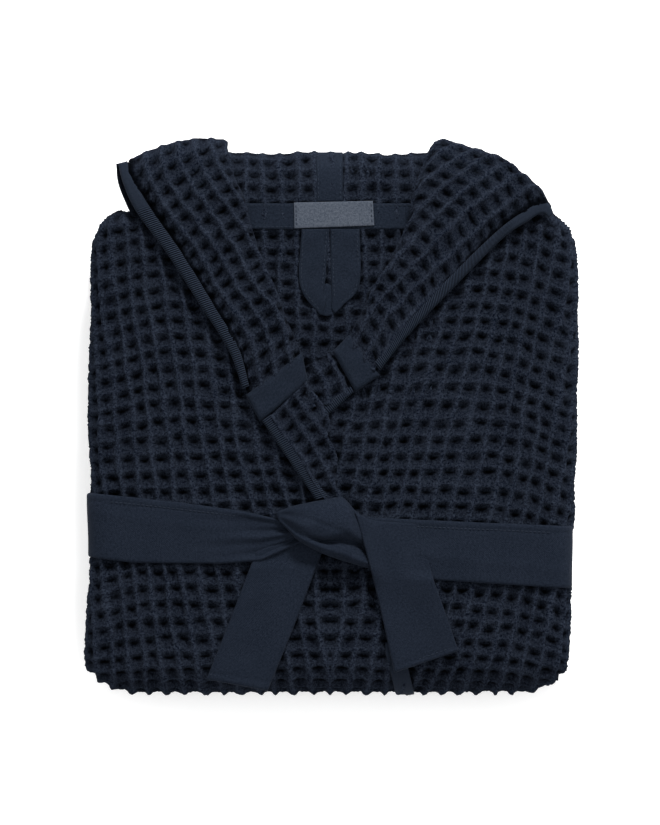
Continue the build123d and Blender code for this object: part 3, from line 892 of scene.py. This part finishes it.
def build_hood_underside():
    """The edge of the hood's lower layer, which shows outside the binding at the right tip, darkened by
    painted shade.
    """
    sides = strip_sides(
        [(-158, 160), (-163, 170), (-169.6, 187), (-171.5, 203)],
        [(-150, 160), (-152, 170), (-158, 187), (-160, 204.5)],
    )
    # Painted shade: the mark darkens this waffle piece's colour where the hood's edge shades it.
    in_shade = 0.7
    shape = {"edge": 1.6, "mark": lambda v: in_shade + 0 * v}
    level = droop_at(LAPEL_BASE - 4.0)
    sew("hood_right_underside_cloth", sides, level, 4.5, WAFFLE, "right_hood_flap", **shape)


def build_patches():
    """Plain patches and bindings along the front edges."""

    def soft(u, v, x, y):
        return 0.5 * smooth_noise(x, y, 26, 91) - 1.6 * np.maximum(u - 0.93, 0) / 0.07 * (x < 0) + 0.5

    right_sides = (
        [(-56, -4), (-67.6, 18)],
        [(-17.6, 28), (-22.4, 51.6)],
        [(-56, -4), (-47, 3), (-17.6, 28)],
        [(-67.6, 18), (-62, 21.5), (-22.4, 51.6)],
    )
    left_sides = strip_sides([(20.2, 19.8), (2.0, 52.4)], [(40, 33.4), (15.6, 66)])
    shape = {"edge": 3.6, "relief": soft}
    for name, sides, level in (
        ("right_collar_patch", right_sides, LAPEL_BASE),
        ("left_collar_patch", left_sides, LAPEL_BASE - 0.6),
    ):
        sew(f"{name}_cloth", sides, flat_at(level), PATCH_THICK, TAPE, "torso", [name], "plain_tape", **shape)
    all_ribbed = 2.0
    outer, inner = [(-54.4, -3), (-33, -34.5), (-11, -67)], [(-47.2, 2.1), (-25, -30), (-1.6, -64)]
    node = "right_front_binding_upper"
    binding("right_front_binding", outer, inner, outer, flat_at(LAPEL_BASE), all_ribbed, "torso", node)
    outer, inner = [(-3.6, 0), (19.6, 20.3)], [(-9, 6), (17, 25.2)]
    binding("left_front_binding", inner, outer, outer, flat_at(LAPEL_BASE - 2.6), all_ribbed, "torso")


def lapel_tail(name, sides, level, seed, roll_on_right):
    """Waffle lapel below the patches, down to the belt."""
    left, right, bottom, top = sides
    width = 0.5 * (curve_length(bottom) + curve_length(top))
    length = 0.5 * (curve_length(left) + curve_length(right))
    place_u, drop_u, along_u = axis_samples(width, STEP, 0.0 if roll_on_right else 3.0, 4.0, 120)
    v = np.linspace(0, 1, int(length / STEP))
    plan = coons(left, right, bottom, top, np.clip(place_u / width, 0, 1), v)
    x, y = plan[..., 0], plan[..., 1]
    z = level - drop_u[None, :] + 0.4 * smooth_noise(x, y, 40, seed)
    base = np.stack([x, y, z], -1)
    local = np.linalg.norm(curve(right, v) - curve(left, v), axis=1)[:, None]
    p = (along_u / width)[None, :] * local
    q = np.broadcast_to(v[:, None] * length, x.shape)
    piece = waffle_piece(name, base, p, q, WAFFLE, seed, depth=3.8)
    finish_piece(piece, "torso")


def build_lapel_tails():
    right_sides = (
        [(-4, -66), (-26, -32), (-47.5, 1)],
        [(10, -66), (3.5, -30), (-3, 2), (-17.5, 30)],
        [(-4, -66), (10, -66)],
        [(-47.5, 1), (-17.5, 30)],
    )
    lapel_tail("right_lapel_cloth", right_sides, LAPEL_TOP - 1.2, 31, True)
    left_sides = (
        [(-14, 8), (-24, 36)],
        [(20.5, 21.4), (2, 53.5)],
        [(-14, 8), (4, 12), (20.5, 21.4)],
        [(-24, 36), (2, 53.5)],
    )
    lapel_tail("left_lapel_cloth", left_sides, LAPEL_TOP - 3.4, 33, False)


# ---------------------------------------------------------------- tapes, label, hanger loop
def rectangle(x0, x1, y0, y1):
    return strip_sides([(x0, y0), (x0, y1)], [(x1, y0), (x1, y1)])


def crown_level(offset):
    def level(x, y):
        past = np.clip(y - DROOP_Y, 0, 37)
        return np.sqrt((64 + offset) ** 2 - past**2) - 2 - 0.45 * np.maximum(y - 200, 0)

    return level


def build_neck():
    tape_top = BACK_TOP + 2.0

    def wave(u, v, x, y):
        return 0.35 * smooth_noise(x, y, 34, 51)

    def laid(name, sides, level, thick, material, node, slot, **shape):
        sew(name, sides, level, thick, material, "torso", [node], slot, "laid", **shape)

    tape, low = rectangle(-76, 70, 150.4, 171.2), flat_at(BACK_TOP + 0.2)
    laid("neck_tape_cloth", tape, low, 1.7, TAPE, "neck_tape", "plain_tape", relief=wave)
    label = strip_sides([(-28.6, 151), (-28.9, 171.7)], [(35.5, 153.3), (34.4, 173.1)])
    level = flat_at(tape_top + 0.1)
    laid("label_blank", label, level, 1.2, LABEL, "label", "label_leather", step=2.0, edge=0.6)
    tape, level = rectangle(-11.2, 10.2, 172.5, 213.0), crown_level(0.6)
    laid("hood_seam_tape_cloth", tape, level, 1.5, TAPE, "hood_seam_tape", "plain_tape", relief=wave)
    top, label_top, seam_top = flat_at(tape_top - 0.1), flat_at(tape_top + 1.35), crown_level(2.1)
    rows = [
        ([(-75, 152.2), (69, 152.2)], top),
        ([(-75, 169.6), (-30, 169.6)], top),
        ([(36, 169.6), (69, 169.6)], top),
        ([(-26.9, 153), (-27.2, 170)], label_top),
        ([(33.6, 155), (32.8, 171.4)], label_top),
        ([(-9.4, 174), (-9.4, 203)], seam_top),
        ([(8.4, 174), (8.4, 203)], seam_top),
    ]
    stitches("neck_stitches", rows, "torso")


def build_hanger():
    base = BACK_TOP + 0.6

    def fold_line(u, v, x, y):
        return 0.4 * smooth_noise(x, y, 20, 57) + 0.5 * np.exp(-(((u - 0.5) / 0.3) ** 2))

    left_leg = strip_sides(
        [(-5.5, 82.2), (-9.4, 83.6), (-24.4, 106), (-22.8, 150.6)],
        [(-1.9, 96), (-5.0, 99), (-3.6, 112), (-0.5, 150.6)],
    )
    right_leg = strip_sides(
        [(1.2, 86.6), (1.5, 96), (0.6, 118), (0.1, 150.6)],
        [(3.6, 82.8), (10, 89), (23.6, 106), (23.8, 150.6)],
    )
    tongue = (
        [(-8.7, 82.6), (-7.6, 104)],
        [(3.6, 82.4), (1.8, 105)],
        [(-8.7, 82.6), (-2.6, 80.8), (3.6, 82.4)],
        [(-7.6, 104), (-3, 107), (1.8, 105)],
    )
    shape = {"step": 1.3, "edge": 1.0, "relief": fold_line}
    for name, sides, raised, thick, nodes in (
        ("hanger_left_leg", left_leg, 0.0, 2.2, ["hanger_loop"]),
        ("hanger_right_leg", right_leg, 0.1, 2.2, []),
        ("hanger_tongue", tongue, -0.5, 1.7, []),
    ):
        sew(name, sides, flat_at(base + raised), thick, TAPE, "hanger", nodes, "plain_tape", **shape)
    top = flat_at(base + 2.35)
    seams = (
        [(-20.8, 149), (-22.2, 107), (-8.6, 86)],
        [(-2.6, 149), (-5.4, 113), (-6.6, 102)],
        [(2.2, 149), (2.7, 118), (3.6, 96)],
        [(21.8, 149), (21.6, 107), (9, 91)],
    )
    stitches("hanger_stitches", [(seam, top) for seam in seams], "hanger")


# ---------------------------------------------------------------- belt
BELT_CLOTH = 2.5
BELT_WIDTH, BELT_FLAT_WIDTH = 51, 0.052


def belt_path():
    """Points and outward normals of the belt's run from the knot, round underneath and back to the knot."""
    top_z, under_z, side_roll = BELT_BASE + 0.3, 36.2, 17
    flat = SIDE - 2.4 - side_roll
    count = int(flat / 2.2)
    half = (top_z - under_z) / 2

    def squared(value):
        return np.sign(value) * abs(value) ** 0.8

    left_side = [
        (-flat + side_roll * squared(math.cos(turn)), under_z + half + half * squared(math.sin(turn)))
        for turn in np.radians(np.linspace(90, 270, 30))[1:-1]
    ]
    path = np.array(
        [(x, top_z) for x in np.linspace(-6, -flat, count)]
        + left_side
        + [(x, under_z) for x in np.linspace(-flat, flat, count)]
        + [(-x, z) for x, z in left_side[::-1]]
        + [(x, top_z) for x in np.linspace(flat, 21, count)]
    )
    ahead = np.gradient(path, axis=0)
    ahead /= np.linalg.norm(ahead, axis=1, keepdims=True)
    normal = np.stack([ahead[:, 1], -ahead[:, 0]], -1)
    return path, -normal if normal[5, 1] < 0 else normal


def build_belt_band():
    """The belt as one strip from the knot round the left side, underneath, and back to the knot."""
    path, normal = belt_path()
    x = path[:, 0]
    upper = np.where(x < 6, at_x(BELT_UPPER, x), at_x(BELT_UPPER_RIGHT, x))
    lower = np.where(x < 6, at_x(BELT_LOWER, x), at_x(BELT_LOWER_RIGHT, x))
    beneath, on_top = normal[:, 1] < -0.5, normal[:, 1] > 0.5
    upper = np.where(beneath, np.interp(x, [-194, 194], [-60.6, -87.4]), upper)
    lower = np.where(beneath, np.interp(x, [-194, 194], [-112, -137.4]), lower)
    v = np.concatenate([[0, 0.008, 0.03], np.linspace(0.06, 0.94, 30), [0.97, 0.992, 1]])
    edge = np.sqrt(1 - (1 - np.clip(np.minimum(v, 1 - v) / 0.04, 0, 1)) ** 2)
    y = upper[:, None] + (lower - upper)[:, None] * v
    gx = np.broadcast_to(x[:, None], y.shape)
    crease = belt_creases(gx, v[None, :]) * on_top[:, None]
    wander = 0.45 * smooth_noise(gx, y, 60, 81)
    outer = 0.9 + (BELT_CLOTH - 0.9) * edge + (crease + wander) * edge
    inner = np.broadcast_to(0.35 * (1 - edge), y.shape)

    def face(height):
        return np.stack([gx + normal[:, :1] * height, y, path[:, 1:] + normal[:, 1:] * height], -1)

    rings = np.concatenate([face(outer), face(inner)[:, ::-1]], axis=1)
    length = np.concatenate([[0], np.cumsum(np.linalg.norm(np.diff(path, axis=0), axis=1))])
    across = np.concatenate([v, v[::-1]]) * BELT_WIDTH
    weave = np.stack(np.broadcast_arrays(across[None, :], length[:, None], 0.0), -1)
    piece = ring_strip("belt_band_cloth", rings, BELT, weave)
    finish_piece(piece, "torso", ["belt_band"])


def at_x(points, x):
    p = sorted(points)
    return np.interp(x, [c[0] for c in p], [c[1] for c in p])


def belt_creases(x, v):
    """Creases that run into the knot, and the fold lines along the belt's edges."""
    left = smoothstep(-120, -35, x) * (x < 6)
    shape = 1.9 * np.sin(2 * PI * (v * 2.1 + 0.15)) + 1.2 * np.sin(2 * PI * (v * 4.3 + 0.6 + x / 120))
    right = (1 - smoothstep(35, 130, x)) * (x > 6)
    hem = -0.7 * np.exp(-(((v - 0.11) / 0.018) ** 2))
    fold = 0.5 * np.exp(-(((v - 0.5 - 0.0012 * x) / 0.09) ** 2))
    return left * shape * 0.75 + right * 0.6 * np.sin(2 * PI * (v * 1.6 + 0.3)) + hem + fold


def build_knot():
    bottom = [(-41.5, -82), (-33, -91), (-25, -99), (-6.3, -109), (13.7, -116), (33, -121.5)]
    top = [
        (-43.8, -76.4), (-29.8, -71.1), (-14, -67.6), (-1.6, -65.3), (10.2, -64.3), (19.5, -74),
        (26, -79),
    ]
    left = [(-41.5, -82), (-43.8, -76.4)]
    right = [(33, -121.5), (31, -98), (26, -79)]

    def dome(u, v, x, y):
        grow = smoothstep(0.0, 0.36, u) * (1 - 0.8 * smoothstep(0.78, 0.98, u))
        body = np.sin(PI * np.clip(v, 0, 1)) ** 0.5
        height = 1.2 + 11.4 * grow * body
        lip = 2.4 * np.exp(-(((v - 0.1) / 0.06) ** 2)) * smoothstep(0.08, 0.35, u)
        crease_v = 0.22 + 0.13 * smoothstep(0.45, 0.85, u)
        width = 0.045 + 0.05 * smoothstep(0.5, 0.85, u)
        crease = 8.5 * np.exp(-(((v - crease_v) / width) ** 2)) * smoothstep(0.3, 0.55, u) * (0.55 + 0.45 * u)
        shoulder = 1.6 * np.exp(-(((v - 0.56) / 0.16) ** 2)) * smoothstep(0.35, 0.7, u)
        shoulder = shoulder * (1 - smoothstep(0.8, 1, u))
        fine = 0.9 * np.sin(2 * PI * (v * 2.4 + 0.6 * u)) * smoothstep(0.02, 0.15, u)
        fine = fine * (1 - smoothstep(0.15, 0.55, u))
        pull = 0.8 * np.exp(-(((v - 0.8 + 0.5 * u) / 0.05) ** 2)) * smoothstep(0.2, 0.5, u)
        return height + lip - crease + shoulder + fine - pull + 0.3 * smooth_noise(x, y, 16, 83)

    sides, level = (left, right, bottom, top), flat_at(BELT_BASE + BELT_CLOTH + 0.6)
    piece, _, _ = patch("belt_knot_cloth", sides, level, 3.4, BELT, step=0.9, edge=2.6, relief=dome)
    finish_piece(piece, "torso", ["belt_knot"])


def tail_hems(u, v, hem, width):
    """The hem line near a belt end's tip, and the stitched lines along its sides."""
    tip = -0.7 * np.exp(-(((v - hem) / width) ** 2)) + 0.5 * (v < hem)
    return tip - 0.5 * np.exp(-(((np.abs(u - 0.5) - 0.45) / 0.012) ** 2))


def build_tails():
    band_top = BELT_BASE + BELT_CLOTH + 0.5
    left_edge = [(51.4, -204.7), (43.4, -168.1), (32, -120.1), (19.6, -76)]

    def left_level(x, y):
        on_band = smoothstep(-156, -126, y + 0.05 * (x - 80))
        outer = smoothstep(0.0, 26.0, x - np.interp(y, [-130, -76], [52, 30])) * smoothstep(-131, -122, y)
        near_top = smoothstep(-88, -78, y) * smoothstep(24, 34, x)
        over_knot = (1 - smoothstep(0, 17, x - at_y(left_edge, y))) * smoothstep(-138, -119, y)
        sunk = 4.4 * np.maximum(outer, near_top * (1 - over_knot))
        return LAPEL_BASE + 1.4 + (band_top - LAPEL_BASE - 0.6) * on_band - sunk + 5.2 * over_knot

    def left_waves(u, v, x, y):
        wave = 0.9 * np.sin(2 * PI * (u * 0.9 + 0.2 + 0.25 * v)) * smoothstep(0.95, 0.4, v)
        pulled = 0.5 * np.sin(2 * PI * (u * 1.7 + 0.1)) * smoothstep(0.55, 1.0, v)
        return tail_hems(u, v, 0.035, 0.008) + wave + pulled + 1.0 + 0.3 * smooth_noise(x, y, 40, 85)

    def right_waves(u, v, x, y):
        wave = 0.7 * np.sin(2 * PI * (u * 0.8 + 0.6 - 0.3 * v))
        return tail_hems(u, v, 0.05, 0.01) + wave + 0.8 + 0.3 * smooth_noise(x, y, 36, 87)

    def right_level(x, y):
        return LAPEL_BASE + 0.5 - 2.0 * smoothstep(-122, -112, y)

    def tail(side, sides, level, waves, bend):
        name, nodes, resting = f"{side}_tail_cloth", [f"belt_tail_{side}"], [f"{side}_front_cloth"]
        shape = {"edge": 1.5, "relief": waves, "blend": bend}
        sew(name, sides, level, TAIL_THICK, BELT, "torso", nodes, "belt_cloth", "laid", resting, **shape)

    sides = (
        left_edge,
        [(102.8, -186.8), (91, -153), (82.9, -129.8), (72, -84.6)],
        [(51.4, -204.7), (102.8, -186.8)],
        [(19.6, -76), (36, -82.5), (72, -84.6)],
    )
    across, middle, height = np.array([0.275, -0.962]) * HALF_BEND, np.array([48.3, -92.8]), 75.2
    bend = ("left_tail", (*(middle - across), height), (*(middle + across), height))
    tail("left", sides, left_level, left_waves, bend)
    sides = (
        [(-98.9, -209.8), (-80, -162), (-63.4, -118.6), (-59, -107)],
        [(-49.9, -219), (-29, -168), (-11.4, -121.6), (-4, -103)],
        [(-98.9, -209.8), (-49.9, -219)],
        [(-59, -107), (-30, -97), (-4, -103)],
    )
    tail("right", sides, right_level, right_waves, ("right_tail", (-37.7, -113, 71.6), (-38.3, -129, 71.6)))
    band = flat_at(BELT_BASE + BELT_CLOTH + 0.4)
    left_row = ([(53.2, -199.6), (100.4, -183.2)], flat_at(LAPEL_BASE + 4.6))
    right_row = ([(-97, -205.4), (-51.8, -214.2)], flat_at(LAPEL_BASE + 3.6))
    band_rows = [
        ([(48, -86.6), (90, -88.4), (140, -90.6), (176, -92.2)], band),
        ([(-176, -67.8), (-154.8, -69.8), (-108.9, -75), (-75, -79)], band),
    ]
    stitches("right_tail_stitches", [right_row], "right_tail")
    stitches("left_tail_stitches", [left_row], "left_tail")
    stitches("belt_stitches", band_rows, "torso")


def build_belt_loops():
    """Narrow strips sewn to the torso's underside that the belt runs through."""
    for name, x, y_mid in (("right_belt_loop", -130, -90.7), ("left_belt_loop", 130, -108.6)):
        y = np.linspace(y_mid - 31, y_mid + 31, 40)
        z = 33.2 + 3.4 * smoothstep(24, 30, np.abs(y - y_mid))
        ring = rounded_ring(5, 0.7, 0.6, 16)
        around = x + ring[None, :, 0], y[:, None], z[:, None] + ring[None, :, 1]
        rings = np.stack(np.broadcast_arrays(*around), -1)
        piece = ring_strip(f"{name}_cloth", rings, TAPE)
        finish_piece(piece, "torso", [name])


# ---------------------------------------------------------------- inside bundles, skirt details
def build_inside():
    """Unseen layers between the fronts, and the skirt's back."""
    for node, low, high, body, seed in (
        ("right_sleeve", (-180, -110, 39.4), (-4, 150, 48), "torso", 41),
        ("left_sleeve", (4, -110, 39.4), (180, 150, 48), "torso", 42),
        ("right_cuff", (-174, -189, 39.6), (-10, -110.5, 47.4), "torso", 43),
        ("left_cuff", (10, -189, 39.6), (174, -110.5, 47.4), "torso", 44),
        ("skirt_back", (-186, -189, 7.5), (186, 146, 26), "skirt", 45),
    ):
        bundle(f"{node}_cloth", low, high, body, node, seed, radius=4.0, step=3.4)


def build_fold_lining():
    """The back panel inside the bottom fold, in two runs that meet half way round it."""
    radius, flat = 21.0, np.linspace(34, 0, 14)[:-1]
    upper, lower = np.radians(np.linspace(0, 90, 26)), np.radians(np.linspace(90, 180, 26))
    x = np.linspace(-184, 184, 140)
    angles = [flat * 0, upper], [lower, flat * 0 + PI]
    runs = [flat, upper * 0], [lower * 0, flat[::-1]]
    for name, theta, back, turn, body, bend, nodes in (
        ("fold_back_upper", angles[0], runs[0], 1, "torso", FOLD_UPPER, ["bottom_fold_back"]),
        ("fold_back_lower", angles[1], runs[1], -1, "bottom_fold", FOLD_LOWER, []),
    ):
        theta, back = np.concatenate(theta), np.concatenate(back)
        gx, gt = np.meshgrid(x, theta)
        gy = FOLD_Y + back[:, None] - radius * np.sin(gt)
        base = np.stack([gx, gy, FOLD_Z + radius * np.cos(gt)], -1)
        q = -gt * radius + back[:, None] * turn
        piece = waffle_piece(name, base, gx, q, WAFFLE, 10, depth=1.8)
        finish_piece(piece, body, nodes, blend=bend)


def build_front_edge_strip():
    """Binding of the right front's edge where it shows below the belt and runs round the bottom fold."""
    theta = np.radians(np.linspace(0, 90, 30))
    ring = rounded_ring(7.6, 0.9, 0.8, 26)
    turns = [np.zeros(7), theta], [theta + PI / 2, np.full(60, PI)]
    above, beneath = np.linspace(9, 0, 8)[:-1], np.linspace(2, SKIRT_END - 14 - FOLD_Y, 60)
    runs = [above, np.zeros(30)], [np.zeros(30), beneath]
    for part, angles, back, height, body, bend, node in (
        ("upper", turns[0], runs[0], 33.6, "torso", FOLD_UPPER, "right_front_binding_lower"),
        ("lower", turns[1], runs[1], 32.4, "bottom_fold", FOLD_LOWER, "bottom_fold_binding"),
    ):
        angles, back = np.concatenate(angles), np.concatenate(back)
        plan_y = FOLD_Y + back - FOLD_RADIUS * np.sin(angles)
        edge_x = np.interp(plan_y, [-224, -189], [60.6, 52.0] if part == "upper" else [60.0, 60.0])
        lift, turn = height + ring[None, :, 1], angles[:, None]
        y = FOLD_Y + back[:, None] - lift * np.sin(turn)
        z = FOLD_Z + lift * np.cos(turn)
        rings = np.stack([edge_x[:, None] + ring[None, :, 0], y, z], -1)
        along = (back - FOLD_RADIUS * angles)[:, None]
        weave = np.stack(np.broadcast_arrays(ring[None, :, 0], along, 0.0), -1)
        piece = ring_strip(f"front_edge_binding_{part}", rings, BINDING, weave)
        finish_piece(piece, body, [node], blend=bend)


def build_skirt_details():
    """Patch pockets on the skirt's face and the hem band inside its fold."""
    for name, x, width, seed in (("right_pocket", -105, 158, 61), ("left_pocket", 124, 108, 62)):
        across = np.linspace(x - width / 2, x + width / 2, int(width / 2.4))
        gx, gy = np.meshgrid(across, np.linspace(-187, -13, 74))
        inset = np.minimum(width / 2 - np.abs(gx - x), 87 - np.abs(gy + 100))
        base = np.stack([gx, gy, 0.9 + 1.6 * (1 - smoothstep(0, 4, inset))], -1)
        piece = waffle_piece(f"{name}_cloth", base, gx, gy, WAFFLE, seed, depth=1.2, flip=True)
        finish_piece(piece, "skirt", [name])
    hem, shape = rectangle(-186, 186, -178, -150.5), {"step": 3.0, "edge": 2.0}
    sew("hem_cloth", hem, flat_at(27.4), 4.2, BINDING, "skirt", ["hem"], "waffle_cloth", **shape)


# ---------------------------------------------------------------- stage, camera, light
def build_stage():
    floor_mesh = bpy.data.meshes.new("floor")
    reach, height = 6.0, -0.0006
    corners = [(x * reach, y * reach, height) for x, y in ((-1, -1), (1, -1), (1, 1), (-1, 1))]
    floor_mesh.from_pydata(corners, [], [(0, 1, 2, 3)])
    floor = bpy.data.objects.new("floor", floor_mesh)
    bpy.context.scene.collection.objects.link(floor)
    paint = bpy.data.materials.new("floor_white")
    paint.use_nodes = True
    looks = {
        "Base Color": (0.96, 0.96, 0.96, 1),
        "Roughness": 1.0,
        "Specular IOR Level": 0.0,
        "Emission Color": (1, 1, 1, 1),
        "Emission Strength": 0.3,
    }
    set_inputs(paint.node_tree, paint.node_tree.nodes["Principled BSDF"], looks)
    floor_mesh.materials.append(paint)


def build_camera():
    scene = bpy.context.scene
    camera_data = bpy.data.cameras.new("camera")
    camera_data.sensor_width = 36
    frame_height, distance = 0.660, 4.0
    camera_data.lens = 36 * distance / frame_height
    camera_data.clip_end = 30
    camera = bpy.data.objects.new("camera", camera_data)
    camera.location = (0.0, 0.0036, distance + 0.068)
    scene.collection.objects.link(camera)
    scene.camera = camera


def build_light():
    scene = bpy.context.scene
    world = bpy.data.worlds.new("studio")
    scene.world = world
    world.use_nodes = True
    background = world.node_tree.nodes["Background"]
    set_inputs(world.node_tree, background, {"Color": (1, 1, 1, 1), "Strength": 1.05})
    key = bpy.data.lights.new("key", "AREA")
    key.shape = "RECTANGLE"
    key.size, key.size_y = 1.1, 0.6
    key.energy = 156
    lamp = bpy.data.objects.new("key", key)
    lamp.location = (0.68, 2.4, 1.85)
    lamp.rotation_euler = (math.radians(-53), 0, math.radians(-15.8))
    scene.collection.objects.link(lamp)
    scene.view_settings.view_transform = "Standard"


build_stage()
build_camera()
build_light()
build_fronts()
build_back()
build_crown()
build_hood()
build_hood_underside()
build_patches()
build_lapel_tails()
build_neck()
build_hanger()
build_belt_band()
build_knot()
build_tails()
build_belt_loops()
build_inside()
build_fold_lining()
build_front_edge_strip()
build_skirt_details()
